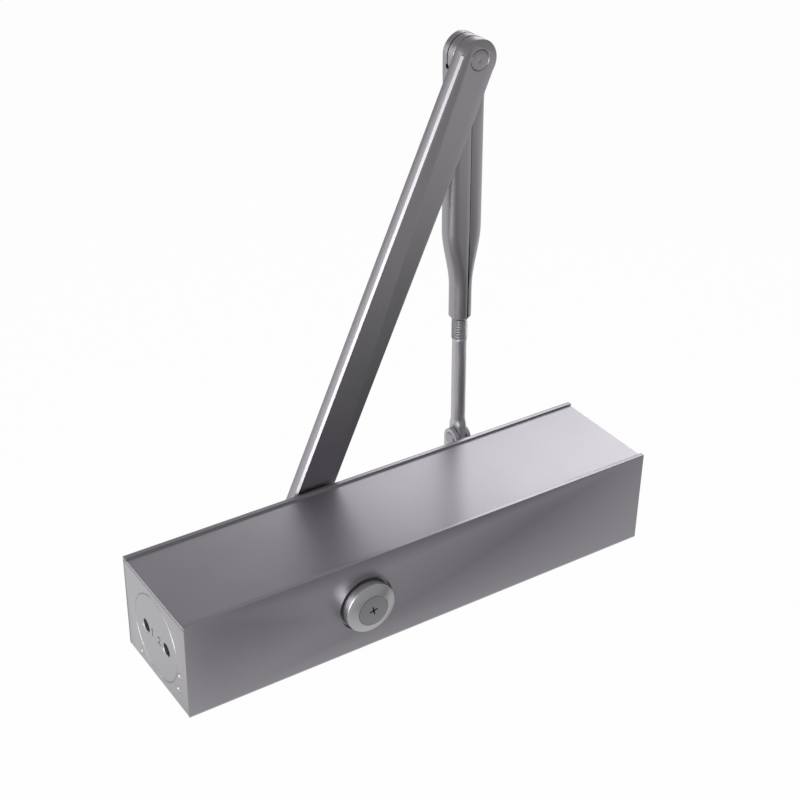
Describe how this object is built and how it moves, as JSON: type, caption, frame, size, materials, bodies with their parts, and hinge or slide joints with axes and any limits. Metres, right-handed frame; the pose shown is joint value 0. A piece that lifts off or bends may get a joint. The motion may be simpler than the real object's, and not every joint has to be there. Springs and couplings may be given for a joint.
{
  "type": "overhead door closer",
  "caption": "Surface-mounted rack-and-pinion door closer: box-section body with a bevelled spindle cap and a folding arm with adjustable rod and frame shoe.",
  "frame": {"origin": "middle of the back face, which lies against the door", "axes": "+X along the body away from the valves, +Y along the spindle toward the arm, +Z away from the door"},
  "size_m": [0.245, 0.088, 0.2473],
  "materials": {
    "cast_alloy": "die-cast, bead-blasted",
    "silver_paint": "silver-grey satin coating on extruded aluminium",
    "plate_paint": "silver-grey satin coating",
    "plug_steel": "turned steel",
    "seal_rubber": "matt black rubber",
    "hardened_steel": "ground and oiled",
    "bearing_steel": "polished",
    "piston_steel": "ground and oiled",
    "spring_steel": "shot-peened, oiled",
    "valve_brass": "turned brass",
    "cap_silver": "satin silver",
    "zinc_steel": "zinc-plated",
    "arm_paint": "silver-grey satin coating on steel",
    "rod_zinc": "bright zinc-plated",
    "pin_steel": "riveted, satin"
  },
  "bodies": {
    "closer_body": {"housing": "cast_alloy", "cover": "silver_paint", "end_plate_left": "plate_paint", "end_plate_right": "plate_paint", "cylinder_plug_left": "plug_steel", "cylinder_plug_right": "plug_steel", "plug_seals": "seal_rubber", "bearing_cups": "bearing_steel", "bearing_needles": "bearing_steel", "bearing_caps": "plug_steel", "shaft_seals": "seal_rubber", "valve_seals": "seal_rubber", "closing_spring": "spring_steel"},
    "spindle": {"pinion_shaft": "hardened_steel", "spindle_cap": "cap_silver", "spindle_cap_screw": "zinc_steel", "arm_hub": "pin_steel", "main_arm": "arm_paint", "arm_screw": "zinc_steel", "elbow_pin": "pin_steel", "elbow_washer": "pin_steel"},
    "piston": {"rack_piston": "piston_steel", "piston_seals": "seal_rubber", "check_ball": "bearing_steel", "check_screw": "valve_brass"},
    "forearm": {"forearm_tube": "arm_paint"},
    "rod": {"adjusting_rod": "rod_zinc"},
    "shoe": {"shoe_bracket": "rod_zinc", "shoe_pin": "pin_steel"},
    "sweep_screw": {"sweep_valve": "valve_brass"},
    "latch_screw": {"latch_valve": "valve_brass"},
    "adjuster": {"spring_adjusting_screw": "zinc_steel"},
    "seat": {"spring_seat": "plug_steel"}
  },
  "joints": [
    {"name": "spindle_turn", "type": "hinge", "parent": "closer_body", "child": "spindle", "pos_m": [-0.0345, 0, 0.024], "axis": [0, 1, 0], "range_deg": [0, 165], "stiffness_Nm_per_rad": 3, "springref_deg": -171.89},
    {"name": "piston_slide", "type": "slide", "parent": "closer_body", "child": "piston", "axis": [1, 0, 0], "range_m": [0, 0.026], "deforming": ["closing_spring"]},
    {"name": "elbow_fold", "type": "hinge", "parent": "spindle", "child": "forearm", "pos_m": [0.05877, 0.042, 0.23697], "axis": [0, 1, 0], "range_deg": [-150, 8]},
    {"name": "rod_turn", "type": "hinge", "parent": "forearm", "child": "rod", "pos_m": [0.06358, 0.042, 0.04003], "axis": [0.0244, 0, -0.9997], "range_deg": [0, 90]},
    {"name": "shoe_swing", "type": "hinge", "parent": "rod", "child": "shoe", "pos_m": [0.06358, 0.042, 0.04003], "axis": [0.9997, 0, 0.0244], "range_deg": [0, 90]},
    {"name": "sweep_valve_turn", "type": "hinge", "parent": "closer_body", "child": "sweep_screw", "pos_m": [-0.1035, 0.0097, 0.023], "axis": [-1, 0, 0], "range_deg": [-180, 180]},
    {"name": "latch_valve_turn", "type": "hinge", "parent": "closer_body", "child": "latch_screw", "pos_m": [-0.1035, -0.0097, 0.023], "axis": [-1, 0, 0], "range_deg": [-180, 180]},
    {"name": "adjuster_turn", "type": "hinge", "parent": "closer_body", "child": "adjuster", "pos_m": [0.104, 0, 0.024], "axis": [1, 0, 0], "range_deg": [0, 1800]},
    {"name": "seat_slide", "type": "slide", "parent": "closer_body", "child": "seat", "axis": [-1, 0, 0], "range_m": [0, 0.0075], "deforming": ["closing_spring"]}
  ],
  "couplings": [
    {"joint": "piston_slide", "follows": "spindle_turn", "m_per_rad": 0.009},
    {"joint": "adjuster_turn", "follows": "seat_slide", "rad_per_m": 4188.8}
  ]
}
